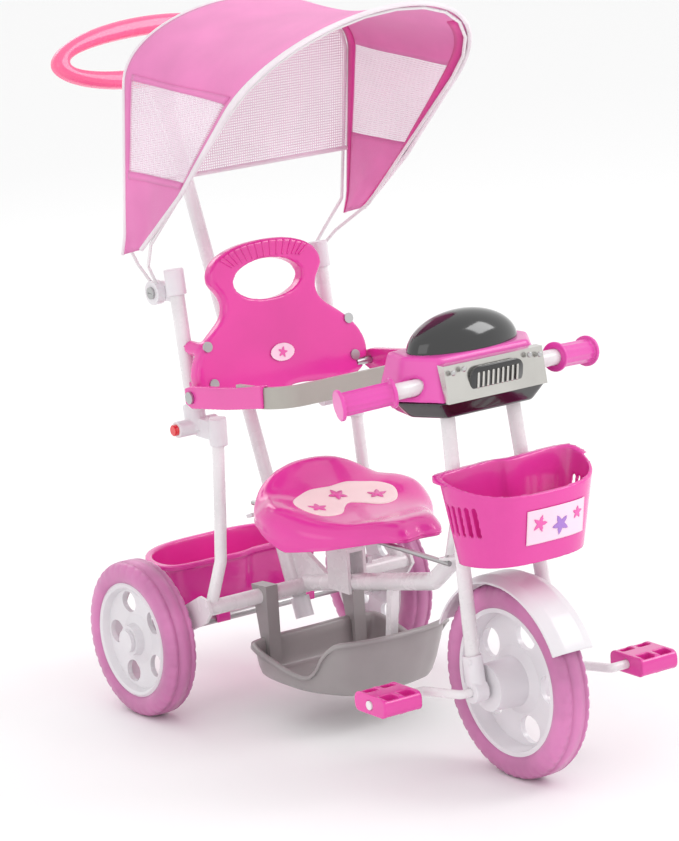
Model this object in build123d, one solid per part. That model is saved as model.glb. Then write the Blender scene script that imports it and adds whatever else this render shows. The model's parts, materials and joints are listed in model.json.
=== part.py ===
from build123d import *
import os
from math import cos, radians, sin

# Children's tricycle with push handle and canopy, millimetres.
# Shapes are laid out from the rear axle: +X the rider's left, +Y the rear, +Z up.
# ORIGIN_Y then moves everything so that the origin lies under the middle of the whole.

ORIGIN_Y = -208.0

REAR_R = 91.0
FRONT_R = 108.0
TRACK = 168.0
TYRE_W = 38.0
FRONT_Y = -488.0
AXLE_R = 5.0
RUN = 0.05

TUBE_R = 10.0
STAY_R = 7.0
POST_R = 8.5
POLE_R = 8.0
LEG_R = 8.0
BAR_R = 9.0
WIRE_R = 2.0

STEER_TILT = 7.5
STEER_Y = -409.0
STEER_Z = 240.0
POLE_TILT = 21.0
POLE_Y = -67.0
POLE_Z = 150.0
CROSS_Y = -96.0
CROSS_Z = 138.0
PLATE_X = 142.0

BACK_TILT = 12.0
HUB_X = 110.0
HUB_Y = 12.0
HUB_Z = 486.0
GUARD_Y = -78.0
GUARD_Z = 380.0
CRANK_R = 42.0
PEDAL_X = 142.0

HOOD_X = 155.0
HOOD_T = 3.0


def rod(points, r, bend=0.0):
    """Round bar along a path of straight runs with rounded bends."""
    path = FilletPolyline(*points, radius=bend) if bend else Polyline(*points)
    return sweep((path ^ 0) * Circle(r), path=path)


def along_x(x0, x1, y, z, r):
    """Cylinder along X between two X positions."""
    return Pos((x0 + x1) / 2, y, z) * Rot(0, 90, 0) * Cylinder(r, abs(x1 - x0))


def block(x0, x1, y0, y1, z0, z1):
    return Pos((x0 + x1) / 2, (y0 + y1) / 2, (z0 + z1) / 2) * Box(x1 - x0, y1 - y0, z1 - z0)


def side_shape(points, x0, x1):
    """Flat plate with a (y, z) outline, between two X positions."""
    face = Plane.YZ.offset(x0) * make_face(Polyline(*points, close=True))
    return extrude(face, x1 - x0, dir=(1, 0, 0))


def turned(profile):
    """Solid turned about the X axis from an (x, r) outline."""
    return revolve(make_face(Polyline(*profile, close=True)), Axis.X)


def steer_plane(height):
    """Plane square to the steering axis, at a height along it from its lower end."""
    tilt = radians(STEER_TILT)
    origin = (0, STEER_Y + height * sin(tilt), STEER_Z + height * cos(tilt))
    return Plane(origin=origin, x_dir=(1, 0, 0), z_dir=(0, sin(tilt), cos(tilt)))


def pole_plane(height):
    """Plane square to the push pole, at a height along it from the socket's middle."""
    tilt = radians(POLE_TILT)
    origin = (0, POLE_Y + height * sin(tilt), POLE_Z + height * cos(tilt))
    return Plane(origin=origin, x_dir=(1, 0, 0), z_dir=(0, sin(tilt), cos(tilt)))


def back_plane(offset):
    """Plane of the backrest, leaning to the rear."""
    tilt = radians(BACK_TILT)
    return Plane(
        origin=(0, -58, 400), x_dir=(1, 0, 0), z_dir=(0, -cos(tilt), sin(tilt))
    ).offset(offset)


# ---------------------------------------------------------------- frame


def main_frame():
    spine = rod([(0, CROSS_Y, CROSS_Z + 2), (0, -345, 190), (0, -384, 222), (0, -396, 262)], TUBE_R, 24)
    cross = along_x(-PLATE_X, PLATE_X, CROSS_Y, CROSS_Z, BAR_R)
    head = steer_plane(26) * Cylinder(13, 52)
    socket = pole_plane(8) * Cylinder(12, 76)
    gusset = side_shape([(-100, 130), (-160, 150), (-62, 196), (-70, 140)], -3, 3)
    frame = spine + cross + head + socket + gusset
    for side in (-1, 1):
        plate = side_shape(
            [(-110, 136), (-104, 150), (-88, 152), (8, 101), (13, 91), (6, 79), (-6, 78), (-98, 122)],
            side * PLATE_X - 2,
            side * PLATE_X + 2,
        )
        frame += plate
    frame -= steer_plane(26) * Cylinder(AXLE_R + RUN, 60)
    frame -= pole_plane(8) * Cylinder(POLE_R + RUN, 120)
    frame -= along_x(-200, 200, 0, REAR_R, AXLE_R)
    return frame


def stay(side):
    points = [(95, -76, 348), (102, -79, 235), (110, -86, 186), (134, CROSS_Y, CROSS_Z)]
    return rod([(side * x, y, z) for x, y, z in points], STAY_R, 18)


def post(side):
    return rod([(side * 100, -40, 330), (side * 100, -14, 506)], POST_R)


def connector(side):
    """Moulded block that joins a seat post to the stay below it."""
    barrel = along_x(side * 74, side * 128, -40, 336, 9.5)
    cup = Pos(side * 100, -37.5, 346) * Rot(-8.4, 0, 0) * Cylinder(12.5, 30)
    sleeve = Pos(side * 95.3, -76, 334) * Cylinder(10.5, 32)
    web = block(side * 97.5 - 5, side * 97.5 + 5, -76, -40, 324, 346)
    return barrel + cup + sleeve + web


def reflector(side):
    return along_x(side * 128, side * 132, -40, 336, 6.5) + along_x(
        side * 131.9, side * 133, -40, 336, 5.5
    )


def post_clamp(side):
    """Sleeve on the post top with a lug that carries the canopy pivot pin."""
    sleeve = Pos(side * 100, -15, 500) * Rot(-8.4, 0, 0) * Cylinder(11.5, 30)
    lug = block(side * 101 - 4, side * 101 + 4, -14, HUB_Y, HUB_Z - 9, HUB_Z + 9)
    eye = along_x(side * 97, side * 105, HUB_Y, HUB_Z, 12)
    return sleeve + lug + eye


def canopy_pin(side):
    shank = along_x(side * 98, side * 115.5, HUB_Y, HUB_Z, 4)
    head = along_x(side * 115.5, side * 118, HUB_Y, HUB_Z, 7)
    cross = block(side * 118 - 1, side * 118 + 1, HUB_Y - 4, HUB_Y + 4, HUB_Z - 0.6, HUB_Z + 0.6)
    return shank + head - cross


# ---------------------------------------------------------------- seat


def seat_outline(grow):
    half = [(0, -102), (60, -100), (98, -118), (107, -160), (92, -205), (58, -246), (42, -292), (24, -326), (0, -334)]
    middle_y = -205
    right = [(x - grow * x / 107, y + grow * (middle_y - y) / 115) for x, y in half]
    left = [(-x, y) for x, y in reversed(right[1:-1])]
    return make_face(Spline(*(right + left), periodic=True))


def seat_body(grow, floor):
    plan = extrude(Plane.XY.offset(floor) * seat_outline(grow), 140)
    top = [(-90, 301 - grow), (-112, 298 - grow), (-140, 270 - grow), (-185, 253 - grow), (-250, 249 - grow)]
    top += [(-305, 256 - grow), (-345, 246 - grow)]
    crown = Spline(*top)
    floor_line = Polyline((-345, 246 - grow), (-345, floor), (-90, floor), (-90, 301 - grow))
    side = extrude(Plane.YZ.offset(-130) * make_face([crown, floor_line]), 260, dir=(1, 0, 0))
    return plan & side


def seat_shell():
    """Thin saddle with a rib underneath, its skirt higher towards the front."""
    rib = block(-19, 19, -212, -140, 190, 300)
    rod_slot = block(-36, -16, -130, -90, 190, 240)
    under = side_shape([(-360, 190), (-360, 242), (-300, 236), (-250, 224), (-80, 214), (-80, 190)], -130, 130)
    return seat_body(0, 200) - (seat_body(5, 195) - rib) - (under - rib) - rod_slot


def inlay_face(y0, grow):
    points = [(0, -136), (48, -132), (70, -158), (60, -196), (24, -212), (0, -208)]
    points = [(x * grow, -172 + (y + 172) * grow) for x, y in points]
    left = [(-x, y) for x, y in reversed(points[1:-1])]
    return Plane.XY.offset(y0) * make_face(Spline(*(points + left), periodic=True))


def seat_inlay():
    """Cream pad that lies in a shallow recess of the seat."""
    column = extrude(inlay_face(225, 1.0), 80)
    return column & (seat_body(0, 200) - Pos(0, 0, -1.6) * seat_body(0, 200))


def seat_bracket():
    plates = block(9, 13, -198, -158, 148, 200) + block(-13, -9, -198, -158, 148, 200)
    return plates + block(-13, 13, -198, -158, 196, 200)


def backrest():
    half = [(0, -38), (80, -38), (108, -30), (118, -8), (110, 18), (84, 44), (64, 66), (66, 82)]
    half += [(76, 98), (74, 112), (50, 130), (0, 137)]
    left = [(-x, z) for x, z in reversed(half[1:-1])]
    face = make_face(Spline(*(half + left), periodic=True))
    hole = Pos(0, 92) * Ellipse(47, 23)
    body = extrude(back_plane(0) * (face - hole), 18)
    body = fillet(body.edges().filter_by(GeomType.BSPLINE), 4)
    for side in (-1, 1):
        for z in (384, 426):
            y = -40 + 0.148 * (z - 330)
            body += Pos(side * 98, (y - 62) / 2, z) * Rot(90, 0, 0) * Cylinder(8.5, abs(y + 62))
    return body


def backrest_screws():
    solids = []
    for side in (-1, 1):
        for z in (384, 426):
            centre = back_plane(18) * Pos(side * 98, (z - 400) / cos(radians(BACK_TILT)) + 2, 1)
            solids.append(centre * Cylinder(6, 2) + centre * Pos(0, 0, -6) * Cylinder(2.5, 11))
    return solids


def guard_pins():
    return [along_x(side * 100, side * 131, GUARD_Y, GUARD_Z, 4) + along_x(side * 130.5, side * 133, GUARD_Y, GUARD_Z, 7) for side in (-1, 1)]


def guard_arm(side):
    outline = [(-66, 371), (-66, 389), (-78, 393), (-150, 402), (-222, 416), (-222, 390), (-150, 377), (-78, 367)]
    arm = side_shape(outline, side * 125 - 5, side * 125 + 5)
    return arm - along_x(side * 110, side * 140, GUARD_Y, GUARD_Z, 4 + RUN)


def guard_bar():
    path = FilletPolyline((-125, -170, 397), (-125, -246, 403), (125, -246, 403), (125, -170, 397), radius=34)
    return sweep((path ^ 0) * Rectangle(24, 6), path=path)


# ---------------------------------------------------------------- footrest


def tray_solid(inset, floor):
    low = [(84, -104), (80, -196), (46, -258), (-46, -258), (-80, -196), (-84, -104)]
    high = [(104, -98), (100, -210), (66, -280), (-66, -280), (-100, -210), (-104, -98)]

    def face(points, z):
        ring = [(x - inset * (1 if x > 0 else -1), y + (inset if y < -180 else -inset)) for x, y in points]
        return Plane.XY.offset(z) * make_face(Polyline(*ring, close=True))

    return loft([face(low, floor), face(high, 120)])


def footrest_tray():
    """Tray with a high front wall that sweeps down to low sides."""
    tray = tray_solid(0, 48) - tray_solid(4, 52)
    sweep_line = [(-90, 88), (-150, 77), (-200, 67), (-218, 70), (-230, 80), (-240, 100), (-256, 130)]
    tray -= side_shape([(-90, 130)] + sweep_line, -120, 120)
    for k in range(5):
        tray += block(-60, 60, -232 + 24 * k, -226 + 24 * k, 51.5, 54)
    return tray


def footrest_hook(side):
    """Strap from the cross tube down to the rear wall of the tray."""
    return side_shape([(-112, 60), (-100, 60), (-82, 150), (-112, 152)], side * 60 - 8, side * 60 + 8)


def footrest_hanger():
    """Post from the spine down to the tray's floor."""
    return side_shape([(-256, 52), (-246, 52), (-262, 172), (-272, 174)], -5, 5)


def seat_knob():
    """Wing knob on the seat bracket's left side."""
    return along_x(13, 24, -178, 182, 6) + block(17, 23, -196, -160, 178, 186)


# ---------------------------------------------------------------- baskets


def tub(outline_low, outline_high, z0, z1, wall):
    """Open tub between two periodic outlines."""

    def face(points, z, inset):
        cy = sum(p[1] for p in points) / len(points)
        half = max(p[1] for p in points) - cy
        wide = max(abs(p[0]) for p in points)
        ring = [(x * (1 - inset / wide), cy + (y - cy) * (1 - inset / half)) for x, y in points]
        return Plane.XY.offset(z) * make_face(Spline(*ring, periodic=True))

    outer = loft([face(outline_low, z0, 0), face(outline_high, z1, 0)])
    inner = loft([face(outline_low, z0 + wall, wall), face(outline_high, z1 + 0.01, wall)])
    lip = extrude(face(outline_high, z1 - 7, -5), 7) - extrude(face(outline_high, z1 - 8, wall), 9)
    return outer - inner + lip


def rear_basket():
    high = [(0, 22), (70, 22), (104, 30), (106, 70), (70, 110), (0, 119), (-70, 110), (-106, 70), (-104, 30), (-70, 22)]
    low = [(x * 0.9, 64 + (y - 64) * 0.84) for x, y in high]
    basket = tub(low, high, 100, 158, 3)
    for side in (-1, 1):
        clip = block(side * 60 - 9, side * 60 + 9, -9, 44, 88, 101)
        basket += clip
    return basket - along_x(-100, 100, 0, REAR_R, AXLE_R)


def front_basket():
    high = [(0, -478), (60, -478), (88, -484), (90, -515), (66, -552), (0, -566), (-66, -552), (-90, -515), (-88, -484), (-60, -478)]
    low = [(x * 0.82, -514 + (y + 514) * 0.74) for x, y in high]
    basket = tub(low, high, 254, 352, 3)
    cut = side_shape([(-480, 380), (-480, 352), (-600, 322), (-600, 380)], -140, 140)
    basket -= cut
    for side in (-1, 1):
        for k in range(5):
            slot = Pos(side * 84, -496 - 8.5 * k, 305) * Rot(0, 0, 0) * Box(36, 4.2, 34)
            basket -= slot
    return basket


def basket_bracket():
    """Strap that fixes the front basket to the two fork legs."""
    return block(-52, 52, -478.5, -474, 290, 306)


# ---------------------------------------------------------------- wheels


def tyre(radius, rim_r):
    half = TYRE_W / 2
    outline = [(-half + 3, rim_r), (-half, rim_r + 4), (-half, radius - 9), (-half + 5, radius - 2)]
    outline += [(-half + 9, radius), (half - 9, radius), (half - 5, radius - 2), (half, radius - 9)]
    outline += [(half, rim_r + 4), (half - 3, rim_r)]
    return turned(outline)


def rim(rim_r, hub_r, hub_half, bore):
    half = TYRE_W / 2
    outline = [(-half + 3, rim_r), (half - 3, rim_r), (half - 1, rim_r - 3), (half - 3, rim_r - 6)]
    outline += [(8, rim_r - 9), (6, hub_r + 12), (10, hub_r + 2), (hub_half, hub_r), (hub_half, bore)]
    outline += [(-hub_half, bore), (-hub_half, hub_r), (-6, hub_r + 2), (0, hub_r + 12), (2, rim_r - 9)]
    outline += [(-half + 3, rim_r - 5)]
    body = turned(outline)
    middle = (rim_r - 9 + hub_r + 12) / 2
    height = rim_r - hub_r - 25
    for k in range(5):
        hole = Rot(90 + 72 * k, 0, 0) * Pos(0, 0, middle) * Rot(0, 90, 0) * extrude(
            Ellipse(height / 2, height / 2 + 1), 60, both=True
        )
        body -= hole
    return body


def crank():
    """One bent rod: axle through the wheel with a throw at each end."""
    points = [(-168, FRONT_Y + CRANK_R, FRONT_R), (-96, FRONT_Y + CRANK_R, FRONT_R), (-76, FRONT_Y, FRONT_R)]
    points += [(76, FRONT_Y, FRONT_R), (96, FRONT_Y - CRANK_R, FRONT_R), (168, FRONT_Y - CRANK_R, FRONT_R)]
    return rod(points, AXLE_R, 7)


def pedal(side):
    y = FRONT_Y - side * CRANK_R
    x = side * PEDAL_X
    body = Pos(x, y, FRONT_R) * Box(50, 56, 22)
    body = fillet(body.edges().filter_by(Axis.X), 8)
    for dy in (-17, 17):
        for dx in (-11.5, 11.5):
            body -= Pos(x + dx, y + dy, FRONT_R) * Box(17, 14, 40)
    return body - along_x(x - 30, x + 30, y, FRONT_R, AXLE_R + RUN)


# ---------------------------------------------------------------- fork


def leg_line(z):
    """Position of a fork leg's axis at a height."""
    t = (z - FRONT_R) / 292.0
    return (56 - 12 * t, FRONT_Y + 41 * t, z)


def fork_leg(side):
    top = leg_line(420)
    foot = leg_line(122)
    return rod([(side * top[0], top[1], 420), (side * foot[0], foot[1], 122)], LEG_R)


def leg_end(side):
    socket = Pos(side * 55, -485, 130) * Rot(-8, 0, 0) * Cylinder(11, 34)
    boss = along_x(side * 47, side * 64, FRONT_Y, FRONT_R, 13)
    ear = along_x(side * 50, side * 66, -487, 142, 5)
    return socket + boss + ear - along_x(-90, 90, FRONT_Y, FRONT_R, AXLE_R + RUN)


def crown_plate(height):
    outline = [(-52, -64), (52, -64), (52, -50), (15, -8), (7.5, 1), (4.5, 7)]
    outline += [(-4.5, 7), (-7.5, 1), (-15, -8), (-52, -50)]
    plate = extrude(steer_plane(height) * make_face(Polyline(*outline, close=True)), 3)
    return plate - steer_plane(height) * Cylinder(AXLE_R, 20)


def steering_bolt():
    pin = steer_plane(26) * Cylinder(AXLE_R, 72)
    head = steer_plane(62) * extrude(RegularPolygon(9, 6), 6)
    return pin + head


def fender():
    """Mudguard over the front wheel, a curved sheet with a peak."""
    outer, inner = 119.0, 116.0
    ring = turned([(-27, outer - 6), (-14, outer), (14, outer), (27, outer - 6), (27, inner - 6), (14, inner), (-14, inner), (-27, inner - 6)])
    ring = Pos(0, FRONT_Y, FRONT_R) * ring
    sector = side_shape(
        [(FRONT_Y, FRONT_R), (FRONT_Y + 150, FRONT_R + 70), (FRONT_Y + 150, 300), (FRONT_Y - 130, 300), (FRONT_Y - 130, 175)],
        -40,
        40,
    )
    return ring & sector


def handlebar():
    points = [(-163, -424, 433), (-104, -441, 439), (104, -441, 439), (163, -424, 433)]
    return rod(points, BAR_R, 60)


def grip(side):
    """Moulded sleeve with a flange at each end."""
    start = Vector(side * 108, -440, 438.6)
    end = Vector(side * 168, -422.6, 432.5)
    plane = Plane(origin=start, z_dir=end - start)
    length = (end - start).length
    half = length / 2
    body = plane * Pos(0, 0, half) * Cylinder(12.5, length)
    body += plane * Pos(0, 0, 2) * Cylinder(16.5, 4)
    body += plane * Pos(0, 0, length - 2) * Cylinder(17, 4)
    for k in range(12):
        body += plane * Rot(0, 0, 30 * k) * Pos(12.4, 0, half) * Box(1.6, 2.4, length - 10)
    return body


def dash_lower():
    plan = [(-90, -384), (90, -384), (98, -430), (70, -474), (-70, -474), (-98, -430)]
    low = [(x * 0.8, -430 + (y + 430) * 0.8) for x, y in plan]
    return loft([Plane.XY.offset(404) * make_face(Polyline(*low, close=True)), Plane.XY.offset(424) * make_face(Polyline(*plan, close=True))])


def dash_upper():
    plan = [(-90, -384), (90, -384), (98, -430), (70, -474), (-70, -474), (-98, -430)]
    high = [(x * 0.86, -424 + (y + 430) * 0.78) for x, y in plan]
    return loft([Plane.XY.offset(424) * make_face(Polyline(*plan, close=True)), Plane.XY.offset(470) * make_face(Polyline(*high, close=True))])


def dash_dome():
    ball = Pos(0, -420, 468) * scale(Sphere(40), (1.75, 0.9, 1.0))
    return ball & block(-100, 100, -500, -350, 470, 540)


def grille():
    panel = side_shape([(-474, 424), (-481, 424), (-474, 464), (-463, 464)], -66, 66)
    return panel


def steering_arm():
    """Ear on the lower crown plate that the steering rod hooks into."""
    outline = [(-35, -6), (-35, 5), (-12, 1), (-12, -26), (-22, -26)]
    arm = extrude(steer_plane(-6.4) * make_face(Polyline(*outline, close=True)), 3)
    return arm - steer_plane(-6) * Pos(-28, -1, 0) * Cylinder(2 + RUN, 12)


# ---------------------------------------------------------------- push handle and steering link


def push_pole():
    return pole_plane(270) * Cylinder(POLE_R, 620)


def pole_cap():
    cap = pole_plane(-45) * Cylinder(11, 24)
    return cap - pole_plane(270) * Cylinder(POLE_R, 620)


def ring_handle():
    """Oval grip across the top of the pole."""
    plane = Plane(pole_plane(628).origin, x_dir=(1, 0, 0), z_dir=pole_plane(0).y_dir)
    outer = extrude(plane * Ellipse(136, 42), 10, both=True)
    inner = extrude(plane * Ellipse(114, 20), 20, both=True)
    body = outer - inner
    return fillet(body.edges(), 8)


def handle_hub():
    return pole_plane(580) * Cylinder(12, 40)


def pole_arm():
    """Collar and arm that the steering rod hangs from."""
    collar = pole_plane(72) * Cylinder(12, 12) - pole_plane(72) * Cylinder(POLE_R, 20)
    arm = extrude(pole_plane(70) * make_face(Polyline((-38, -6), (-38, 6), (-11, 8), (-11, -8), close=True)), 4)
    return collar + arm


def steering_rod():
    start = steer_plane(-11.0).from_local_coords(Vector(-28, -1, 0))
    stop = pole_plane(86).from_local_coords(Vector(-30, 0, 0))
    bar = rod([(-28, start.Y - 3, start.Z), (-28, stop.Y, stop.Z)], 3)
    return bar + steer_plane(-7) * Pos(-28, -1, 0) * Cylinder(2, 10)


# ---------------------------------------------------------------- canopy


def arch_points(inset, rear):
    """Centre line of a hoop seen from the front, as (x, z)."""
    base, top = (735, 812) if rear else (720, 828)
    half = HOOD_X - inset
    rise = top - inset - base
    return [(half * cos(radians(a)), base + rise * sin(radians(a))) for a in range(0, 181, 15)]


def arch_face(y, inset):
    """Outline of the hood across it at y: straight legs under half an ellipse."""
    forward = (20 - y) / 380
    base = 737 - 23 * forward
    top = 811.6 + 19.4 * forward
    half = HOOD_X - inset
    crown = Pos(0, base) * Ellipse(half, top - inset - base)
    legs = Pos(0, (base + 480) / 2) * Rectangle(2 * half, base - 480)
    return Plane.XZ.offset(-y) * (crown + legs)


def hood_volume(inset):
    outline = [(8, 536), (-2, 560), (-24, 737), (-28, 830), (-352, 846), (-343, 829)]
    outline += [(-156, 650), (-128, 622), (-36, 548)]
    return loft([arch_face(20, inset), arch_face(-360, inset)]) & side_shape(outline, -200, 200)


def hood_inner(inset):
    return loft([arch_face(40, inset), arch_face(-380, inset)])


def window_outline():
    return [(-30, 731), (-236, 731), (-158, 656), (-19, 642)]


def canopy_cover():
    return hood_volume(0) - hood_inner(HOOD_T) - side_shape(window_outline(), -200, 200)


def canopy_window(side):
    """Net panel in the side of the hood, inside the cover's thickness."""
    near, far = sorted((side * 100, side * 200))
    return (hood_volume(1) - hood_inner(2)) & side_shape(window_outline(), near, far)


def canopy_back():
    panel = extrude(arch_face(-30.5, HOOD_T - 0.5), 2)
    return panel - block(-200, 200, -100, 100, 400, 616)


def hoop(rear):
    inset = HOOD_T - 0.6 + WIRE_R
    half = HOOD_X - inset
    points = []
    for x, z in arch_points(inset, rear):
        y = -22 - (z - 735) * 0.05 if rear else -226 - (z - 720) * 1.05
        points.append((x, y, z))
    ends = [(HUB_X + 0.3, HUB_Y + (5 if rear else -5), HUB_Z + 9)]
    ends += [(130, HUB_Y + (2 if rear else -20), 522), (half, 4 if rear else -50, 556)]
    left = [(-x, y, z) for x, y, z in reversed(ends)]
    return rod(ends + points + left, WIRE_R, 9)


def canopy_hub(side):
    disc = along_x(side * 105.3, side * 115.3, HUB_Y, HUB_Z, 14)
    return disc - along_x(side * 100, side * 120, HUB_Y, HUB_Z, 4 + RUN)


# ---------------------------------------------------------------- all nodes


# Right and left fittings of one kind share a node, as separate solids.
PAIRS = {
    "post": "seat_posts",
    "stay": "lower_stays",
    "post_connector": "post_connectors",
    "side_reflector": "side_reflectors",
    "canopy_pin": "canopy_pins",
    "post_clamp": "post_clamps",
    "canopy_hub": "canopy_hubs",
    "footrest_hook": "footrest_hooks",
    "guard_arm": "guard_arms",
    "hub_cap": "hub_caps",
    "fork_leg": "fork_legs",
    "leg_end": "leg_ends",
    "grip": "hand_grips",
}


def at_wheel(shape, x, y, z):
    return Pos(x, y, z) * shape


def main():
    nodes = {}
    nodes["main_frame"] = main_frame()
    sides = {"right": -1, "left": 1}
    for name, side in sides.items():
        nodes["post_" + name] = post(side)
        nodes["stay_" + name] = stay(side) - nodes["main_frame"]
        nodes["post_connector_" + name] = connector(side) - nodes["post_" + name] - nodes["stay_" + name]
        nodes["side_reflector_" + name] = reflector(side) - nodes["post_connector_" + name]
        nodes["canopy_pin_" + name] = canopy_pin(side)
        nodes["post_clamp_" + name] = post_clamp(side) - nodes["post_" + name] - nodes["canopy_pin_" + name]

    pins = guard_pins()
    screws = backrest_screws()
    nodes["guard_pins"] = pins
    nodes["backrest_screws"] = screws
    back = backrest()
    for tool in pins + screws + [nodes["post_right"], nodes["post_left"]]:
        back -= tool
    nodes["backrest"] = back

    inlay = seat_inlay()
    nodes["seat_inlay"] = inlay
    nodes["seat_shell"] = seat_shell() - inlay
    nodes["seat_bracket"] = seat_bracket() - nodes["main_frame"]
    nodes["footrest_tray"] = footrest_tray()
    for name, side in sides.items():
        nodes["footrest_hook_" + name] = footrest_hook(side) - nodes["main_frame"] - nodes["footrest_tray"]
    nodes["footrest_hanger"] = footrest_hanger() - nodes["main_frame"] - nodes["footrest_tray"]
    nodes["seat_knob"] = seat_knob() - nodes["main_frame"]
    nodes["rear_axle"] = along_x(-TRACK - 22, TRACK + 22, 0, REAR_R, AXLE_R)
    nodes["rear_basket"] = rear_basket()

    for name, side in sides.items():
        arm = guard_arm(side)
        nodes["guard_arm_" + name] = arm
    bar = guard_bar()
    nodes["guard_bar"] = bar
    for name in sides:
        nodes["guard_arm_" + name] -= bar

    rear_rim = rim(67, 17, 19, AXLE_R + RUN)
    rear_tyre = tyre(REAR_R, 67)
    for name, side in sides.items():
        turn = Rot(0, 0, 180) if side < 0 else Rot(0, 0, 0)
        nodes["rear_rim_" + name] = at_wheel(turn * rear_rim, side * TRACK, 0, REAR_R)
        nodes["rear_tyre_" + name] = at_wheel(rear_tyre, side * TRACK, 0, REAR_R)
        cap = along_x(side * (TRACK + 19.3), side * (TRACK + 24), 0, REAR_R, 13)
        nodes["hub_cap_" + name] = cap - nodes["rear_axle"]

    nodes["crank_axle"] = crank()
    nodes["front_rim"] = at_wheel(rim(82, 26, 42, AXLE_R), 0, FRONT_Y, FRONT_R)
    nodes["front_tyre"] = at_wheel(tyre(FRONT_R, 82), 0, FRONT_Y, FRONT_R)
    for name, side in sides.items():
        nodes["pedal_" + name] = pedal(side)

    legs = {name: fork_leg(side) for name, side in sides.items()}
    bar = handlebar()
    nodes["handlebar"] = bar
    bolt = steering_bolt()
    nodes["steering_bolt"] = bolt
    for name, side in sides.items():
        nodes["fork_leg_" + name] = legs[name] - bar
        nodes["leg_end_" + name] = leg_end(side) - legs[name]
        nodes["grip_" + name] = grip(side) - bar
    legs_all = nodes["fork_leg_right"] + nodes["fork_leg_left"]
    lower_plate = crown_plate(-3.4) - legs_all
    upper_plate = crown_plate(52.4) - legs_all
    nodes["crown_plates"] = [lower_plate.solids()[0], upper_plate.solids()[0]]
    nodes["steering_arm"] = steering_arm() - lower_plate
    nodes["front_mudguard"] = fender() - lower_plate
    nodes["basket_bracket"] = basket_bracket() - legs_all
    nodes["front_basket"] = front_basket() - nodes["basket_bracket"] - legs_all
    nodes["dash_lower"] = dash_lower() - legs_all
    nodes["dash_upper"] = dash_upper() - bar - legs_all
    nodes["dash_dome"] = dash_dome()
    nodes["dash_grille"] = grille() - nodes["dash_upper"] - nodes["dash_lower"]

    nodes["push_pole"] = push_pole()
    nodes["pole_cap"] = pole_cap()
    nodes["ring_handle"] = ring_handle() - nodes["push_pole"]
    nodes["handle_hub"] = handle_hub() - nodes["push_pole"] - nodes["ring_handle"]
    nodes["pole_arm"] = pole_arm()
    nodes["steering_rod"] = steering_rod()

    front = hoop(False)
    rear = hoop(True)
    nodes["canopy_hoop_front"] = front
    nodes["canopy_hoop_rear"] = rear
    nodes["canopy_cover"] = canopy_cover() - front - rear
    for name, side in sides.items():
        nodes["canopy_window_" + name] = canopy_window(side) - front - rear
        nodes["canopy_hub_" + name] = canopy_hub(side) - front - rear
    nodes["canopy_back"] = canopy_back() - nodes["canopy_cover"] - nodes["canopy_window_right"] - nodes["canopy_window_left"]

    for base, name in PAIRS.items():
        pair = [nodes.pop(base + "_right"), nodes.pop(base + "_left")]
        nodes[name] = [solid for item in pair for solid in item.solids()]

    os.makedirs("parts", exist_ok=True)
    shift = Pos(0, -ORIGIN_Y, 0)
    for name, shape in nodes.items():
        solids = shape if isinstance(shape, list) else list(shape.solids())
        moved = [shift * solid for solid in solids]
        moved = [piece for item in moved for piece in item.solids()]
        export_step(Compound(children=moved) if len(moved) > 1 else moved[0], "parts/" + name + ".step")
        box = Compound(children=moved).bounding_box()
        print(name, len(moved), [round(v, 1) for v in (*box.min, *box.max)])


main()
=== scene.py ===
import json
from math import atan2, cos, pi, radians, sin

import bmesh
import bpy
from mathutils import Matrix, Vector
from mathutils.bvhtree import BVHTree


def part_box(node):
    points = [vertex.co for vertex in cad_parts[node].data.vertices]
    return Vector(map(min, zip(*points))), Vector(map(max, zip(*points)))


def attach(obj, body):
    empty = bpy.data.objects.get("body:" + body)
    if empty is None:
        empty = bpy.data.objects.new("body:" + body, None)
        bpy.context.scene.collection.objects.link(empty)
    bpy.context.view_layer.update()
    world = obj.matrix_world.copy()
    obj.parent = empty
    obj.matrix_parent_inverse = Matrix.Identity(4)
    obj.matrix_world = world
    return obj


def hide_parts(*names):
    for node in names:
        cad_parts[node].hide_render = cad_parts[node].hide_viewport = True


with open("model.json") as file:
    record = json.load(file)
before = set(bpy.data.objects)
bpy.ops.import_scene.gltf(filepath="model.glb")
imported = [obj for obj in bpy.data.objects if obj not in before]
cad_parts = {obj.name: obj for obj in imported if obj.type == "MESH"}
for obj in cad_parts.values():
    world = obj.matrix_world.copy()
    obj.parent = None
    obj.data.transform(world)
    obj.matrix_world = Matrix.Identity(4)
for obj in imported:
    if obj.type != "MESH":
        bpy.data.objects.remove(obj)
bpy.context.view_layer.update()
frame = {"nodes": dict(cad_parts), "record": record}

# ---------------------------------------------------------------- materials


def srgb(r, g, b):
    return tuple((c / 255 / 12.92) if c <= 10 else ((c / 255 + 0.055) / 1.055) ** 2.4 for c in (r, g, b)) + (1.0,)


def shade(color, k):
    return tuple(min(1.0, c * k) for c in color[:3]) + (1.0,)


def new_material(name, rough=0.4, metallic=0.0, coat=0.0, sheen=0.0, subsurface=0.0):
    mat = bpy.data.materials.new(name)
    mat.use_nodes = True
    bsdf = mat.node_tree.nodes["Principled BSDF"]
    bsdf.inputs["Metallic"].default_value = metallic
    bsdf.inputs["Roughness"].default_value = rough
    bsdf.inputs["Coat Weight"].default_value = coat
    bsdf.inputs["Coat Roughness"].default_value = 0.08
    bsdf.inputs["Sheen Weight"].default_value = sheen
    bsdf.inputs["Subsurface Weight"].default_value = subsurface
    bsdf.inputs["Subsurface Radius"].default_value = (0.02, 0.012, 0.012)
    return mat, bsdf


def node(mat, kind, **values):
    n = mat.node_tree.nodes.new(kind)
    for key, value in values.items():
        if hasattr(n, key):
            setattr(n, key, value)
        else:
            n.inputs[key.replace("_", " ")].default_value = value
    return n


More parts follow.
